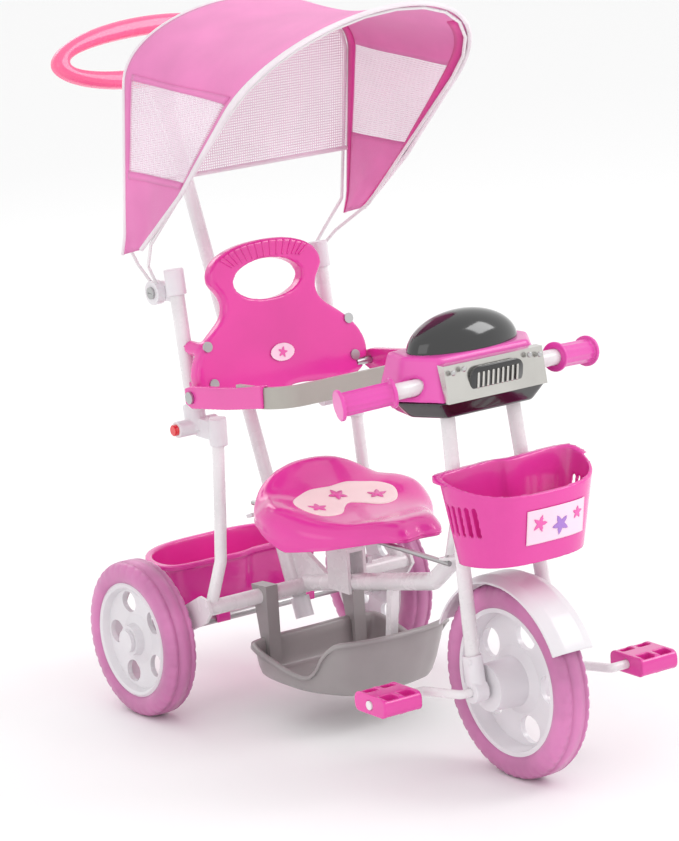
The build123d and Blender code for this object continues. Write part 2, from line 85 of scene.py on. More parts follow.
def link(mat, a, b):
    mat.node_tree.links.new(a, b)


def position(mat):
    return node(mat, "ShaderNodeTexCoord").outputs["Object"]


def mottle(mat, bsdf, color, low, high, scale, detail=4.0, spread=(0.35, 0.65)):
    """Base colour that drifts between a darker and a lighter tone."""
    noise = node(mat, "ShaderNodeTexNoise", Scale=scale, Detail=detail)
    link(mat, position(mat), noise.inputs["Vector"])
    ramp = node(mat, "ShaderNodeValToRGB")
    ramp.color_ramp.elements[0].position = spread[0]
    ramp.color_ramp.elements[1].position = spread[1]
    ramp.color_ramp.elements[0].color = shade(color, low)
    ramp.color_ramp.elements[1].color = shade(color, high)
    link(mat, noise.outputs["Fac"], ramp.inputs["Fac"])
    link(mat, ramp.outputs["Color"], bsdf.inputs["Base Color"])
    return ramp


def rough_noise(mat, bsdf, scale, low, high):
    noise = node(mat, "ShaderNodeTexNoise", Scale=scale, Detail=5.0)
    link(mat, position(mat), noise.inputs["Vector"])
    span = node(mat, "ShaderNodeMapRange")
    span.inputs["To Min"].default_value = low
    span.inputs["To Max"].default_value = high
    link(mat, noise.outputs["Fac"], span.inputs["Value"])
    link(mat, span.outputs["Result"], bsdf.inputs["Roughness"])


def grain(mat, bsdf, scale, distance, strength=0.4):
    noise = node(mat, "ShaderNodeTexNoise", Scale=scale, Detail=3.0)
    link(mat, position(mat), noise.inputs["Vector"])
    bump = node(mat, "ShaderNodeBump", Strength=strength, Distance=distance)
    link(mat, noise.outputs["Fac"], bump.inputs["Height"])
    link(mat, bump.outputs["Normal"], bsdf.inputs["Normal"])


def moulded(name, color, rough=0.25, coat=0.5, low=0.93, high=1.05, bump=0.00012, subsurface=0.0):
    mat, bsdf = new_material(name, rough, coat=coat, subsurface=subsurface)
    mottle(mat, bsdf, color, low, high, 9.0)
    rough_noise(mat, bsdf, 40.0, rough - 0.05, rough + 0.08)
    grain(mat, bsdf, 220.0, bump)
    return mat


def metal(name, color, rough=0.3, metallic=1.0, coat=0.0):
    mat, bsdf = new_material(name, rough, metallic, coat)
    mottle(mat, bsdf, color, 0.92, 1.04, 14.0)
    rough_noise(mat, bsdf, 60.0, rough - 0.06, rough + 0.1)
    grain(mat, bsdf, 500.0, 0.00004, 0.3)
    return mat


def weave(name, color, pitch, hole=0.0, rough=0.8):
    """Woven cloth from two crossed thread waves, with open holes for mesh."""
    mat, bsdf = new_material(name, rough, sheen=0.25)
    mottle(mat, bsdf, color, 0.93, 1.05, 12.0)
    coords = node(mat, "ShaderNodeUVMap")
    waves = []
    for axis in ("X", "Y"):
        wave = node(mat, "ShaderNodeTexWave", Scale=1.0 / pitch / 20 * 2 * pi)
        wave.bands_direction = axis
        link(mat, coords.outputs["UV"], wave.inputs["Vector"])
        waves.append(wave)
    top = node(mat, "ShaderNodeMath", operation="MAXIMUM")
    link(mat, waves[0].outputs["Fac"], top.inputs[0])
    link(mat, waves[1].outputs["Fac"], top.inputs[1])
    bump = node(mat, "ShaderNodeBump", Strength=0.5, Distance=0.0004)
    link(mat, top.outputs[0], bump.inputs["Height"])
    link(mat, bump.outputs["Normal"], bsdf.inputs["Normal"])
    if hole:
        cut = node(mat, "ShaderNodeMapRange")
        cut.inputs["From Min"].default_value = hole - 0.06
        cut.inputs["From Max"].default_value = hole + 0.06
        cut.inputs["To Min"].default_value = 0.06
        link(mat, top.outputs[0], cut.inputs["Value"])
        link(mat, cut.outputs["Result"], bsdf.inputs["Alpha"])
    return mat


PINK = srgb(226, 54, 160)
MATS = {
    "white_metal": metal("white_enamel", srgb(232, 228, 230), 0.25, 0.0, 0.5),
    "steel": metal("zinc_steel", srgb(190, 190, 190), 0.32),
    "grey_bar": metal("grey_enamel", srgb(172, 168, 160), 0.35, 0.1, 0.3),
    "pink_plastic": moulded("pink_shell", PINK, 0.22, 0.6, subsurface=0.03),
    "salmon_plastic": moulded("salmon_shell", srgb(250, 100, 150), 0.25, 0.5, subsurface=0.04),
    "magenta_plastic": moulded("magenta_shell", srgb(224, 74, 172), 0.28, 0.4, subsurface=0.04),
    "white_plastic": moulded("white_shell", srgb(226, 222, 226), 0.3, 0.3, subsurface=0.03),
    "grey_plastic": moulded("grey_shell", srgb(158, 152, 152), 0.34, 0.25, 0.9, 1.06, 0.0002),
    "cream_vinyl": moulded("cream_vinyl", srgb(250, 228, 226), 0.4, 0.2, 0.95, 1.03, 0.0002),
    "black_plastic": moulded("black_gloss", srgb(20, 20, 21), 0.12, 0.9),
    "silver_plastic": metal("silver_plate", srgb(205, 203, 198), 0.18, 0.9, 0.3),
    "red_reflector": moulded("red_lens", srgb(225, 30, 40), 0.15, 0.9),
    "pink_tyre": moulded("pearl_pink_foam", srgb(196, 116, 166), 0.38, 0.25, 0.74, 1.24, 0.0004, 0.08),
    "pink_fabric": weave("pink_cloth", srgb(234, 128, 190), 0.0011),
    "pink_mesh": weave("pink_net", srgb(240, 222, 234), 0.0030, hole=0.66),
}
PINK_CLOTH_DARK = weave("rose_binding", srgb(228, 72, 160), 0.0011)
PALE_PIPING = weave("pale_piping", srgb(246, 236, 242), 0.0009)

slots = {row["node"]: row["material_slot"] for row in frame["record"]["subparts"]}
for name, obj in frame["nodes"].items():
    obj.data.materials.clear()
    obj.data.materials.append(MATS[slots[name]])

# ---------------------------------------------------------------- helpers


def add_object(name, mesh, mat, body):
    obj = bpy.data.objects.new(name, mesh)
    bpy.context.scene.collection.objects.link(obj)
    obj.data.materials.clear()
    obj.data.materials.append(mat)
    for face in obj.data.polygons:
        face.use_smooth = True
    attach(obj, body)
    return obj


def apply_modifiers(obj):
    deps = bpy.context.evaluated_depsgraph_get()
    mesh = bpy.data.meshes.new_from_object(obj.evaluated_get(deps))
    old = obj.data
    obj.modifiers.clear()
    obj.data = mesh
    bpy.data.meshes.remove(old)


def soften(cad, body, voxel, rounds, mat=None, name=None):
    """Rounded moulding made from a CAD node: remeshed, relaxed, then shown in its place."""
    source = frame["nodes"][cad]
    mesh = source.data.copy()
    obj = bpy.data.objects.new(name or cad + "_moulding", mesh)
    bpy.context.scene.collection.objects.link(obj)
    remesh = obj.modifiers.new("remesh", "REMESH")
    remesh.mode = "VOXEL"
    remesh.voxel_size = voxel
    smooth = obj.modifiers.new("relax", "SMOOTH")
    smooth.factor = 0.5
    smooth.iterations = rounds
    apply_modifiers(obj)
    obj.data.materials.clear()
    obj.data.materials.append(mat or MATS[slots[cad]])
    for face in obj.data.polygons:
        face.use_smooth = True
    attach(obj, body)
    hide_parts(cad)
    return obj


def lerp(a, b, t):
    return a + (b - a) * t


def table_value(table, x):
    for (x0, y0), (x1, y1) in zip(table, table[1:]):
        if x <= x1:
            return lerp(y0, y1, max(0.0, (x - x0) / (x1 - x0)))
    return table[-1][1]


# ---------------------------------------------------------------- mouldings

SOFTENED = {
    "backrest": ("frame", 0.0022, 5),
    "rear_basket": ("frame", 0.0016, 3),
    "front_basket": ("steering", 0.0016, 3),
    "dash_upper": ("steering", 0.0020, 30),
    "dash_lower": ("steering", 0.0020, 20),
    "front_mudguard": ("steering", 0.0012, 3),
    "hand_grips": ("steering", 0.0010, 3),
    "pedal_right": ("right_pedal", 0.0011, 3),
    "pedal_left": ("left_pedal", 0.0011, 3),
    "post_connectors": ("frame", 0.0010, 4),
    "post_clamps": ("frame", 0.0010, 4),
    "leg_ends": ("steering", 0.0010, 4),
    "guard_arms": ("safety_bar", 0.0012, 4),
}
for cad, (body, voxel, rounds) in SOFTENED.items():
    soften(cad, body, voxel, rounds)

# ---------------------------------------------------------------- seat

SEAT_LOW, SEAT_HIGH = (Vector(corner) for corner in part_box("seat_shell"))
SEAT_HALF = SEAT_HIGH.x
SEAT_LENGTH = SEAT_HIGH.y - SEAT_LOW.y
# Right half of the plan, from the rear centre to the nose: share of half width, share of length from the rear.
SEAT_PLAN = [(0, 0.0), (0.45, 0.030), (0.83, 0.135), (0.99, 0.32), (0.90, 0.50), (0.62, 0.68), (0.42, 0.84), (0.24, 0.966), (0, 1.0)]
# Height of the top above the ground along the length, and of the skirt's lower edge.
SEAT_TOP = [(0.0, 0.2925), (0.06, 0.2900), (0.18, 0.2690), (0.37, 0.2530), (0.64, 0.2490), (0.875, 0.2555), (1.0, 0.2500)]
SEAT_EDGE = [(0.0, 0.245), (0.25, 0.236), (0.45, 0.217), (0.64, 0.222), (0.86, 0.234), (1.0, 0.238)]


def smooth_table(table, x):
    """Smooth curve through (x, value) rows."""
    xs = [row[0] for row in table]
    k = max(0, min(len(xs) - 2, sum(1 for value in xs[1:-1] if value < x)))
    rows = [table[max(0, k - 1)], table[k], table[k + 1], table[min(len(xs) - 1, k + 2)]]
    span = rows[2][0] - rows[1][0]
    t = (x - rows[1][0]) / span
    slope_a = (rows[2][1] - rows[0][1]) / (rows[2][0] - rows[0][0]) * span
    slope_b = (rows[3][1] - rows[1][1]) / (rows[3][0] - rows[1][0]) * span
    a = (2 * t ** 3 - 3 * t ** 2 + 1) * rows[1][1] + (t ** 3 - 2 * t ** 2 + t) * slope_a
    return a + (-2 * t ** 3 + 3 * t ** 2) * rows[2][1] + (t ** 3 - t ** 2) * slope_b


def ease(x):
    x = max(0.0, min(1.0, x))
    return x * x * (3 - 2 * x)


def closed_curve(points, per):
    """Points of a smooth closed curve through the given ones."""
    count = len(points)
    out = []
    for k in range(count):
        p0, p1, p2, p3 = (Vector(points[(k + d) % count]) for d in (-1, 0, 1, 2))
        for m in range(per):
            t = m / per
            out.append(0.5 * (2 * p1 + (p2 - p0) * t + (2 * p0 - 5 * p1 + 4 * p2 - p3) * t * t + (3 * p1 - p0 - 3 * p2 + p3) * t ** 3))
    return out


def seat_top(p):
    """Height of the saddle's top at a point of its plan."""
    share = max(0.0, min(1.0, (SEAT_HIGH.y - p.y) / SEAT_LENGTH))
    across = abs(p.x) / SEAT_HALF
    fall = 0.020 * across ** 2 * (1 - ease((share - 0.05) / 0.35))
    side_lift = 0.010 * ease((across - 0.35) / 0.5) * ease((share - 0.10) / 0.2) * (1 - ease((share - 0.35) / 0.3))
    return smooth_table(SEAT_TOP, share) - fall + side_lift


def seat_mesh():
    half = [(x * (SEAT_HALF - 0.002), SEAT_HIGH.y - share * SEAT_LENGTH) for x, share in SEAT_PLAN]
    half[-1] = (0, SEAT_LOW.y + 0.010)
    rim = closed_curve(half + [(-x, y) for x, y in reversed(half[1:-1])], 8)
    middle = Vector((0, SEAT_HIGH.y - 0.44 * SEAT_LENGTH))

    def lower_edge(p):
        share = max(0.0, min(1.0, (SEAT_HIGH.y - p.y) / SEAT_LENGTH))
        rod_arch = 0.030 * ease((0.14 - share) / 0.08) * ease((0.066 - abs(p.x)) / 0.02)
        return table_value(SEAT_EDGE, share) + rod_arch

    bm = bmesh.new()
    rings = []
    inner = [0.06, 0.18, 0.3, 0.42, 0.54, 0.66, 0.76, 0.85, 0.91, 0.95, 0.98, 1.0]
    for share in inner:
        ring = []
        for p in rim:
            q = middle + (p - middle) * share
            round_off = 0.011 * (1 - (1 - ease((share - 0.80) / 0.20) ** 2) ** 0.5) if share > 0.8 else 0.0
            ring.append(bm.verts.new((q.x, q.y, seat_top(q) - round_off)))
        rings.append(ring)
    for drop, out in ((0.15, 0.0012), (0.4, 0.0016), (0.65, 0.0010), (0.86, 0.0004), (0.94, 0.0016), (1.0, 0.0018)):
        ring = []
        for p in rim:
            away = (p - middle).normalized() * out
            start = seat_top(p) - 0.011
            ring.append(bm.verts.new((p.x + away.x, p.y + away.y, lerp(start, lower_edge(p), drop))))
        rings.append(ring)
    hub = bm.verts.new((middle.x, middle.y, seat_top(middle)))
    count = len(rim)
    for k in range(count):
        bm.faces.new([hub, rings[0][k], rings[0][(k + 1) % count]])
    for a, b in zip(rings, rings[1:]):
        for k in range(count):
            bm.faces.new([a[k], b[k], b[(k + 1) % count], a[(k + 1) % count]])
    bmesh.ops.recalc_face_normals(bm, faces=bm.faces)
    mesh = bpy.data.meshes.new("saddle")
    bm.to_mesh(mesh)
    bm.free()
    return mesh


saddle = add_object("saddle", seat_mesh(), MATS["pink_plastic"], "frame")
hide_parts("seat_shell")
wall = saddle.modifiers.new("wall", "SOLIDIFY")
wall.thickness = 0.0028
wall.offset = -1.0

# Half of the cream pad's kidney outline: shares of half width and of length from the rear of its box.
PAD_PLAN = [(0, 0.30), (0.42, 0.28), (0.80, 0.42), (0.92, 0.72), (0.72, 1.0), (0.40, 1.04), (0.16, 0.84), (0, 0.76)]
PAD_LOW, PAD_HIGH = (Vector(corner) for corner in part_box("seat_inlay"))


def pad_mesh():
    length = PAD_HIGH.y - PAD_LOW.y
    half = [(x * PAD_HIGH.x, PAD_HIGH.y - share * length) for x, share in PAD_PLAN]
    rim = closed_curve(half + [(-x, y) for x, y in reversed(half[1:-1])], 8)
    middle = Vector((0, PAD_HIGH.y - 0.54 * length))
    bm = bmesh.new()
    rings = []
    for share, lift in ((0.2, 0.0014), (0.4, 0.0014), (0.6, 0.0014), (0.8, 0.0014), (0.95, 0.0013), (0.985, 0.0009), (1.0, -0.0004)):
        flat = [middle + (p - middle) * share for p in rim]
        rings.append([bm.verts.new((q.x, q.y, seat_top(q) + lift)) for q in flat])
    hub = bm.verts.new((middle.x, middle.y, seat_top(middle) + 0.0014))
    count = len(rim)
    for k in range(count):
        bm.faces.new([hub, rings[0][(k + 1) % count], rings[0][k]])
    for a, b in zip(rings, rings[1:]):
        for k in range(count):
            bm.faces.new([a[k], a[(k + 1) % count], b[(k + 1) % count], b[k]])
    bmesh.ops.recalc_face_normals(bm, faces=bm.faces)
    mesh = bpy.data.meshes.new("seat_pad")
    bm.to_mesh(mesh)
    bm.free()
    return mesh


seat_pad = add_object("seat_pad", pad_mesh(), MATS["cream_vinyl"], "frame")
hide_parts("seat_inlay")

# ---------------------------------------------------------------- footrest tray

TRAY_LOW, TRAY_HIGH = (Vector(corner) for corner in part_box("footrest_tray"))
# Half outlines of the floor and of the rim: shares of half width and of length from the rear.
TRAY_FLOOR = [(0, 0.03), (0.62, 0.03), (0.82, 0.10), (0.82, 0.50), (0.62, 0.79), (0.30, 0.87), (0, 0.88)]
TRAY_MOUTH = [(0, 0.0), (0.78, 0.0), (1.0, 0.10), (1.0, 0.56), (0.80, 0.87), (0.42, 0.98), (0, 1.0)]
TRAY_RIM = [(0.0, 0.088), (0.27, 0.077), (0.50, 0.068), (0.60, 0.069), (0.68, 0.080), (0.76, 0.099), (0.86, 0.114), (1.0, 0.118)]


def tray_mesh():
    length = TRAY_HIGH.y - TRAY_LOW.y

    def outline(shares):
        half = [(x * TRAY_HIGH.x, TRAY_HIGH.y - share * length) for x, share in shares]
        return closed_curve(half + [(-x, y) for x, y in reversed(half[1:-1])], 10)

    floor_ring, mouth = outline(TRAY_FLOOR), outline(TRAY_MOUTH)
    middle = Vector((0, TRAY_HIGH.y - 0.45 * length))
    height = TRAY_HIGH.z - TRAY_LOW.z
    full = []
    for low, high in zip(floor_ring, mouth):
        t = 0.4
        for _ in range(12):
            y = lerp(low.y, high.y, t)
            t = 0.5 * t + 0.5 * (smooth_table(TRAY_RIM, (TRAY_HIGH.y - y) / length) - TRAY_LOW.z) / height
        full.append(max(0.1, min(0.98, t)))
    bm = bmesh.new()
    rings = []
    for share in (0.15, 0.4, 0.65, 0.85, 0.95):
        rings.append([bm.verts.new((*(middle + (p - middle) * share), TRAY_LOW.z + 0.0006)) for p in floor_ring])
    for part, out, rise in ((0.03, 0.0, 0.0008), (0.12, 0.002, 0.0), (0.35, 0.003, 0.0), (0.7, 0.002, 0.0), (0.95, 0.001, 0.0), (1.0, 0.002, 0.0), (1.0, 0.0055, 0.0003), (0.985, 0.0062, -0.0030)):
        ring = []
        for low, high, t in zip(floor_ring, mouth, full):
            p = low.lerp(high, t * part)
            away = (p - middle).normalized() * out
            ring.append(bm.verts.new((p.x + away.x, p.y + away.y, TRAY_LOW.z + height * t * part + rise)))
        rings.append(ring)
    hub = bm.verts.new((*middle, TRAY_LOW.z + 0.0006))
    count = len(floor_ring)
    for k in range(count):
        bm.faces.new([hub, rings[0][k], rings[0][(k + 1) % count]])
    for a, b in zip(rings, rings[1:]):
        for k in range(count):
            bm.faces.new([a[k], b[k], b[(k + 1) % count], a[(k + 1) % count]])
    bmesh.ops.recalc_face_normals(bm, faces=bm.faces)
    mesh = bpy.data.meshes.new("foot_bowl")
    bm.to_mesh(mesh)
    bm.free()
    return mesh


foot_bowl = add_object("foot_bowl", tray_mesh(), MATS["grey_plastic"], "frame")
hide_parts("footrest_tray")
bowl_wall = foot_bowl.modifiers.new("wall", "SOLIDIFY")
bowl_wall.thickness = 0.0030
bowl_wall.offset = 0.0

# ---------------------------------------------------------------- canopy

CANOPY_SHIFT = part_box("canopy_cover")[1][1] - 0.008
HALF = 0.1545
REAR_EDGE = [(0.536, 0.006), (0.560, -0.003), (0.737, -0.024), (0.815, -0.028)]
FRONT_EDGE = [(0.548, -0.034), (0.622, -0.126), (0.650, -0.154), (0.829, -0.340), (0.846, -0.350)]
LEG_STEPS = 22
ARC_STEPS = 36
U_STEPS = 30


def rib(v, half, foot, base, top):
    """Point (x, z) of an arch: a straight leg, half an ellipse, a straight leg."""
    if v < LEG_STEPS:
        return -half, lerp(foot, base, v / LEG_STEPS)
    if v > LEG_STEPS + ARC_STEPS:
        return half, lerp(base, foot, (v - LEG_STEPS - ARC_STEPS) / LEG_STEPS)
    a = pi - pi * (v - LEG_STEPS) / ARC_STEPS
    return half * cos(a), base + (top - base) * sin(a)


def cover_point(u, v, out=0.0):
    xr, zr = rib(v, HALF + out, 0.538, 0.735, 0.8125 + out)
    xf, zf = rib(v, HALF + out, 0.549, 0.721, 0.8282 + out)
    yr = table_value(REAR_EDGE, zr)
    yf = table_value(FRONT_EDGE, zf)
    x, y, z = lerp(xr, xf, u), lerp(yr, yf, u), lerp(zr, zf, u)
    sag = sin(pi * u)
    on_top = max(0.0, min(1.0, (z - 0.735) / 0.06))
    ripple = 0.0011 * sin(9.0 * u + 0.55 * v) * sag
    z -= (0.0125 * sag) * on_top - ripple * on_top
    x -= (1 if x > 0 else -1) * (0.0035 * sag + ripple) * (1 - on_top)
    return Vector((x, y + CANOPY_SHIFT, z))


V_LAST = 2 * LEG_STEPS + ARC_STEPS


def is_window(i, j):
    side = j if j < LEG_STEPS + 2 else V_LAST - 1 - j
    return 11 <= side < LEG_STEPS + 1 and 2 <= i < U_STEPS - 2


def grid_mesh(name, keep, out=0.0):
    mesh = bpy.data.meshes.new(name)
    bm = bmesh.new()
    uv = bm.loops.layers.uv.new("UVMap")
    verts = {}

    def vert(i, j):
        if (i, j) not in verts:
            verts[i, j] = bm.verts.new(cover_point(i / U_STEPS, j, out))
        return verts[i, j]

    for i in range(U_STEPS):
        for j in range(V_LAST):
            if keep(i, j):
                corners = [(i, j), (i, j + 1), (i + 1, j + 1), (i + 1, j)]
                face = bm.faces.new([vert(a, b) for a, b in corners])
                for loop, (a, b) in zip(face.loops, corners):
                    loop[uv].uv = (a * 0.0095, b * 0.0105)
    bm.normal_update()
    bm.to_mesh(mesh)
    bm.free()
    return mesh


def thicken(obj, amount):
    solid = obj.modifiers.new("thickness", "SOLIDIFY")
    solid.thickness = amount
    solid.offset = 0.0


cover = add_object("canopy_cloth", grid_mesh("canopy_cloth", lambda i, j: not is_window(i, j)), MATS["pink_fabric"], "canopy")
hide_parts("canopy_cover")
thicken(cover, 0.0012)
right_net = add_object("side_net_right", grid_mesh("side_net_right", lambda i, j: is_window(i, j) and j < V_LAST / 2), MATS["pink_mesh"], "canopy")
left_net = add_object("side_net_left", grid_mesh("side_net_left", lambda i, j: is_window(i, j) and j > V_LAST / 2), MATS["pink_mesh"], "canopy")
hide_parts("canopy_window_right")
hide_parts("canopy_window_left")


def on_side(j):
    """Below the roof, down to the hood's lower corners."""
    return min(j, V_LAST - 1 - j) < LEG_STEPS + 9


def on_frame(i, j):
    """Binding round each window."""
    side = j if j < V_LAST / 2 else V_LAST - 1 - j
    return side in (10, LEG_STEPS + 1) and 2 <= i < U_STEPS - 2


def cloth_band(name, keep, out, mat):
    band = add_object(name, grid_mesh(name, keep, out), mat, "canopy")
    thicken(band, 0.0012)
    return band


BANDS = [
    cloth_band("window_binding", on_frame, 0.0010, MATS["pink_fabric"]),
    cloth_band("front_binding", lambda i, j: i >= U_STEPS - 1, 0.0010, PALE_PIPING),
    cloth_band("front_strap", lambda i, j: U_STEPS - 3 <= i < U_STEPS - 1 and on_side(j), -0.0014, PINK_CLOTH_DARK),
    cloth_band("rear_strap", lambda i, j: i < 2 and on_side(j), -0.0014, PINK_CLOTH_DARK),
]


def net_back_mesh():
    mesh = bpy.data.meshes.new("back_net")
    bm = bmesh.new()
    uv = bm.loops.layers.uv.new("UVMap")
    rows, cols = 26, 30
    grid = []
    for r in range(rows + 1):
        t = r / rows
        z = lerp(0.617, 0.808, t)
        rise = max(0.0, (z - 0.735) / (0.8112 - 0.735))
        half = (HALF - 0.003) * (1 - rise * rise) ** 0.5
        line = []
        for k in range(cols + 1):
            s = -1 + 2 * k / cols
            y = table_value(REAR_EDGE, z) + CANOPY_SHIFT + 0.006 * (1 - s * s) * sin(pi * t)
            line.append(bm.verts.new((half * s, y, z)))
        grid.append(line)
    for r in range(rows):
        for k in range(cols):
            quad = [grid[r][k], grid[r][k + 1], grid[r + 1][k + 1], grid[r + 1][k]]
            face = bm.faces.new(quad)
            for loop in face.loops:
                loop[uv].uv = (loop.vert.co.x, loop.vert.co.z)
    bm.normal_update()
    bm.to_mesh(mesh)
    bm.free()
    return mesh


back_net = add_object("back_net", net_back_mesh(), MATS["pink_mesh"], "canopy")
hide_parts("canopy_back")


def tube(name, points, radius, mat, body, closed=False):
    curve = bpy.data.curves.new(name, "CURVE")
    curve.dimensions = "3D"
    curve.bevel_depth = radius
    curve.bevel_resolution = 4
    spline = curve.splines.new("POLY")
    spline.points.add(len(points) - 1)
    for point, co in zip(spline.points, points):
        point.co = (*co, 1.0)
    spline.use_cyclic_u = closed
    curve.materials.append(mat)
    obj = bpy.data.objects.new(name, curve)
    bpy.context.scene.collection.objects.link(obj)
    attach(obj, body)
    return obj


tube("front_piping", [cover_point(1.0, v) for v in range(V_LAST + 1)], 0.0026, PALE_PIPING, "canopy")
tube("rear_piping", [cover_point(0.0, v) for v in range(V_LAST + 1)], 0.0022, PALE_PIPING, "canopy")
hem = [Vector((-HALF + 2 * HALF * k / 20, table_value(REAR_EDGE, 0.617) + CANOPY_SHIFT, 0.617)) for k in range(21)]
tube("back_hem", hem, 0.0024, PALE_PIPING, "canopy")

# ---------------------------------------------------------------- small surface details


def surface_hit(cad, origin, direction):
    """First point of a CAD node's surface along a ray, with its normal."""
    mesh = frame["nodes"][cad].data
    tree = BVHTree.FromPolygons([v.co for v in mesh.vertices], [p.vertices[:] for p in mesh.polygons])
    place, normal, _, _ = tree.ray_cast(Vector(origin), Vector(direction).normalized())
    return place, normal


def projected_patch(name, outline_test, cad, centre, across, upward, direction, lift, mat, body, steps=36, size=(0.09, 0.05)):
    """Thin patch that follows a CAD surface, cut to the points that outline_test accepts."""
    mesh_in = frame["nodes"][cad].data
    tree = BVHTree.FromPolygons([v.co for v in mesh_in.vertices], [p.vertices[:] for p in mesh_in.polygons])
    direction = Vector(direction).normalized()
    bm = bmesh.new()
    rows = []
    for r in range(steps + 1):
        row = []
        for k in range(steps + 1):
            a = (k / steps - 0.5) * size[0]
            b = (r / steps - 0.5) * size[1]
            start = Vector(centre) + Vector(across) * a + Vector(upward) * b - direction * 0.08
            place, normal, _, _ = tree.ray_cast(start, direction)
            if place is None or not outline_test(a, b):
                row.append(None)
                continue
            row.append(bm.verts.new(place - direction * lift))
        rows.append(row)
    for r in range(steps):
        for k in range(steps):
            quad = [rows[r][k], rows[r][k + 1], rows[r + 1][k + 1], rows[r + 1][k]]
            if all(quad):
                bm.faces.new(quad)
    mesh = bpy.data.meshes.new(name)
    bm.to_mesh(mesh)
    bm.free()
    obj = add_object(name, mesh, mat, body)
    thicken(obj, 0.0006)
    return obj


def star_test(cx, cy, radius, turn=0.0):
    """True inside a five-pointed star."""

    def inside(a, b):
        r, t = ((a - cx) ** 2 + (b - cy) ** 2) ** 0.5, atan2(b - cy, a - cx) + turn
        wave = abs(((t * 5 / (2 * pi)) % 1.0) * 2 - 1)
        return r < radius * (0.45 + 0.55 * wave ** 1.3)

    return inside


STICKER = moulded("pale_sticker", srgb(250, 214, 232), 0.3, 0.4)
STAR_PINK = moulded("star_print", srgb(236, 92, 176), 0.3, 0.4)
STAR_LILAC = moulded("lilac_print", srgb(168, 120, 206), 0.3, 0.4)

def star_mesh(name, centre, radius, turn):
    """Five-pointed star that lies on the seat pad."""
    bm = bmesh.new()
    hub = bm.verts.new((centre.x, centre.y, seat_top(centre) + 0.0022))
    ring = []
    for k in range(40):
        t = 2 * pi * k / 40 + turn
        wave = abs(((k / 8) % 1.0) * 2 - 1)
        q = centre + Vector((cos(t), sin(t))) * radius * (0.46 + 0.54 * wave ** 1.2)
        ring.append(bm.verts.new((q.x, q.y, seat_top(q) + 0.0020)))
    for k in range(40):
        bm.faces.new([hub, ring[k], ring[(k + 1) % 40]])
    mesh = bpy.data.meshes.new(name)
    bm.to_mesh(mesh)
    bm.free()
    return mesh


pad_middle = (PAD_LOW + PAD_HIGH) / 2
for k, (dx, dy, radius) in enumerate([(-0.042, -0.020, 0.0115), (-0.002, -0.002, 0.0115), (0.040, -0.020, 0.0115)]):
    spot = Vector((pad_middle.x + dx, pad_middle.y + dy))
    star = add_object(f"seat_star_{k}", star_mesh(f"seat_star_{k}", spot, radius, 0.5 * k), STAR_PINK, "frame")
    thicken(star, 0.0006)

back_up = Vector((0, sin(radians(12)), cos(radians(12))))
back_front = Vector((0, -cos(radians(12)), sin(radians(12))))
back_low, back_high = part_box("backrest")
oval_at = Vector((0, lerp(back_low[1], back_high[1], 0.2), 0.409))
projected_patch(
    "backrest_oval", lambda a, b: (a / 0.0165) ** 2 + (b / 0.0105) ** 2 < 1, "backrest",
    oval_at, (1, 0, 0), back_up, -back_front, 0.0014, STICKER, "frame", 44, (0.034, 0.022),
)
projected_patch("backrest_star", star_test(0, 0, 0.007), "backrest", oval_at, (1, 0, 0), back_up, -back_front, 0.0020, STAR_PINK, "frame", 40, (0.016, 0.016))

LOOP_RIBS = 15
for k in range(LOOP_RIBS):
    angle = lerp(radians(152), radians(28), k / (LOOP_RIBS - 1))
    out = Vector((0.0605 * cos(angle), 0, 0)) + back_up * (0.112 * 1 + 0.0165 * sin(angle))
    foot = Vector((0, oval_at.y, 0.4)) + out
    place, _ = surface_hit("backrest", foot + back_front * 0.08, -back_front)
    if place:
        lean = Vector((cos(angle), 0, 0)) * 0.6 + back_up * 0.8 * sin(angle)
        half_length = lean.normalized() * 0.0085
        tube(f"loop_rib_{k}", [place - half_length, place + half_length], 0.0013, MATS["pink_plastic"], "frame")

basket_low, basket_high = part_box("front_basket")
panel_at = (0.010, basket_low[1], lerp(basket_low[2], basket_high[2], 0.42))
projected_patch("basket_panel", lambda a, b: True, "front_basket", panel_at, (1, 0, 0), (0, 0, 1), (0, 1, 0), 0.0012, STICKER, "steering", 30, (0.080, 0.038))
for k, (dx, dz, r, mat) in enumerate([(-0.024, 0.003, 0.010, STAR_PINK), (0.004, -0.003, 0.012, STAR_LILAC), (0.028, 0.005, 0.008, STAR_PINK)]):
    spot = (panel_at[0] + dx, panel_at[1], panel_at[2] + dz)
    projected_patch(f"basket_star_{k}", star_test(0, 0, r, 0.5 * k), "front_basket", spot, (1, 0, 0), (0, 0, 1), (0, 1, 0), 0.0018, mat, "steering", 40, (0.026, 0.026))


def rounded_slab(name, width, height, depth, radius, place, basis, mat, body):
    """Rounded plate: width along basis x, height along basis y, raised along basis z."""
    bm = bmesh.new()
    ring = []
    for k in range(48):
        t = 2 * pi * k / 48
        x = (width / 2 - radius) * (1 if cos(t) > 0 else -1) + radius * cos(t)
        y = (height / 2 - radius) * (1 if sin(t) > 0 else -1) + radius * sin(t)
        ring.append((x, y))
    layers = []
    for z, inset in ((0, 0), (depth * 0.7, 0), (depth, depth * 0.35)):
        layers.append([bm.verts.new((x * (1 - 2 * inset / width), y * (1 - 2 * inset / height), z)) for x, y in ring])
    for low, high in zip(layers, layers[1:]):
        for k in range(48):
            bm.faces.new([low[k], low[(k + 1) % 48], high[(k + 1) % 48], high[k]])
    bm.faces.new(layers[-1])
    bm.faces.new(list(reversed(layers[0])))
    mesh = bpy.data.meshes.new(name)
    bm.to_mesh(mesh)
    bm.free()
    mesh.transform(Matrix.Translation(place) @ basis.to_4x4())
    return add_object(name, mesh, mat, body)


